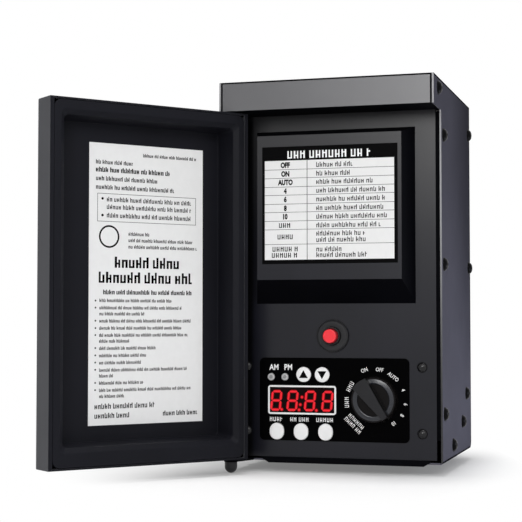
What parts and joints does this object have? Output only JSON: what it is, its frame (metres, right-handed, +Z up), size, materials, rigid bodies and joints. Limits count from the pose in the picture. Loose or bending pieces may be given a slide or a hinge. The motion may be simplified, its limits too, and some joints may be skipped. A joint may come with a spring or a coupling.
{
  "type": "low voltage landscape transformer",
  "caption": "Wall-hung low voltage landscape transformer: black steel housing with rain hood, open hinged door, raised front panel, digital timer, selector knob and reset breaker.",
  "frame": {"origin": "centre of the keyhole's round entry, on the rear face that lies against the wall", "axes": "+Y points into the wall, the front faces -Y, +Z is up, +X is to the right of someone facing the front"},
  "size_m": [0.2386, 0.2631, 0.2625],
  "materials": {
    "side_steel": "fine textured black powder coat on sheet steel",
    "hood_steel": "fine textured black powder coat, catching the light from above",
    "rivet_black": "smooth black coated steel heads",
    "panel_plastic": "moulded black plastic with a fine grain",
    "label_white": null,
    "hinge_black": "black coated steel",
    "nylon": "natural nylon",
    "door_steel": "fine textured black powder coat on sheet steel",
    "liner_plastic": "moulded black plastic with a fine grain",
    "timer_gloss": "glossy black printed fascia",
    "frame_white": "white printed frame",
    "window_red": "dark red display filter",
    "display_dark": "black moulded electronic part",
    "board_green": "green lacquered circuit board",
    "zinc_steel": "zinc plated steel",
    "lens_clear": "cloudy clear lamp lens",
    "switch_grey": "dark grey switch housing",
    "relay_blue": "blue moulded case",
    "plug_cream": "cream nylon connector",
    "button_white": "smooth white moulded cap",
    "knob_black": "glossy black moulded knob",
    "breaker_black": "black moulded plastic",
    "brass_metal": "plain brass",
    "reset_red": "smooth red moulded button",
    "core_steel": "wound silicon steel strip",
    "copper_wire": "enamelled copper wire",
    "pad_rubber": "black rubber",
    "ground_green": "green plated screw",
    "lead_black": "black insulated wire",
    "lead_red": "red insulated wire"
  },
  "bodies": {
    "housing": {"left_side_panel": "side_steel", "right_side_panel": "side_steel", "hood_cover": "hood_steel", "back_plate": "side_steel", "bottom_plate": "side_steel", "left_side_rivets": "rivet_black", "right_side_rivets": "rivet_black", "front_panel": "panel_plastic", "front_screws": "rivet_black", "instruction_label": "label_white", "lower_hinge_pin": "hinge_black", "upper_hinge_pin": "hinge_black", "lower_hinge_washer": "nylon", "upper_hinge_washer": "nylon", "timer_panel": "timer_gloss", "display_frame": "frame_white", "display_window": "window_red", "display_module": "display_dark", "timer_board": "board_green", "board_spacers": "zinc_steel", "board_nuts": "zinc_steel", "am_pm_lenses": "lens_clear", "push_switches": "switch_grey", "relay": "relay_blue", "timer_chip": "display_dark", "capacitors": "relay_blue", "board_plug": "plug_cream", "selector_switch": "switch_grey", "selector_nut": "zinc_steel", "breaker_body": "breaker_black", "breaker_ring": "breaker_black", "breaker_tabs": "brass_metal", "transformer_core": "core_steel", "primary_winding": "copper_wire", "secondary_winding": "copper_wire", "rear_core_pad": "pad_rubber", "front_core_pad": "pad_rubber", "clamp_dish": "zinc_steel", "core_stud": "zinc_steel", "core_nut": "zinc_steel", "terminal_block": "breaker_black", "terminal_screws": "brass_metal", "cord_gland": "breaker_black", "sensor_gland": "breaker_black", "ground_screw": "ground_green", "primary_leads": "lead_black", "secondary_leads": "lead_red"},
    "door": {"door_shell": "door_steel", "door_liner": "liner_plastic", "door_label": "label_white", "lower_hinge_bush": "nylon", "upper_hinge_bush": "nylon"},
    "selector": {"selector_shaft": "zinc_steel", "selector_knob": "knob_black"},
    "reset": {"reset_button": "reset_red"},
    "up": {"up_button": "button_white"},
    "down": {"down_button": "button_white"},
    "clock": {"clock_button": "button_white"},
    "timed_on": {"timed_on_button": "button_white"},
    "timed_off": {"timed_off_button": "button_white"}
  },
  "joints": [
    {"name": "door_hinge", "type": "hinge", "parent": "housing", "child": "door", "pos_m": [-0.06855, -0.1455, -0.1125], "axis": [0, 0, -1], "range_deg": [-130, 50]},
    {"name": "selector_turn", "type": "hinge", "parent": "housing", "child": "selector", "pos_m": [0.0272, -0.14, -0.1888], "axis": [0, -1, 0], "range_deg": [0, 270]},
    {"name": "reset_push", "type": "slide", "parent": "housing", "child": "reset", "axis": [0, 1, 0], "range_m": [0, 0.003], "stiffness_N_per_m": 500},
    {"name": "up_push", "type": "slide", "parent": "housing", "child": "up", "axis": [0, 1, 0], "range_m": [0, 0.0006], "stiffness_N_per_m": 1000},
    {"name": "down_push", "type": "slide", "parent": "housing", "child": "down", "axis": [0, 1, 0], "range_m": [0, 0.0006], "stiffness_N_per_m": 1000},
    {"name": "clock_push", "type": "slide", "parent": "housing", "child": "clock", "axis": [0, 1, 0], "range_m": [0, 0.0006], "stiffness_N_per_m": 1000},
    {"name": "timed_on_push", "type": "slide", "parent": "housing", "child": "timed_on", "axis": [0, 1, 0], "range_m": [0, 0.0006], "stiffness_N_per_m": 1000},
    {"name": "timed_off_push", "type": "slide", "parent": "housing", "child": "timed_off", "axis": [0, 1, 0], "range_m": [0, 0.0006], "stiffness_N_per_m": 1000}
  ]
}
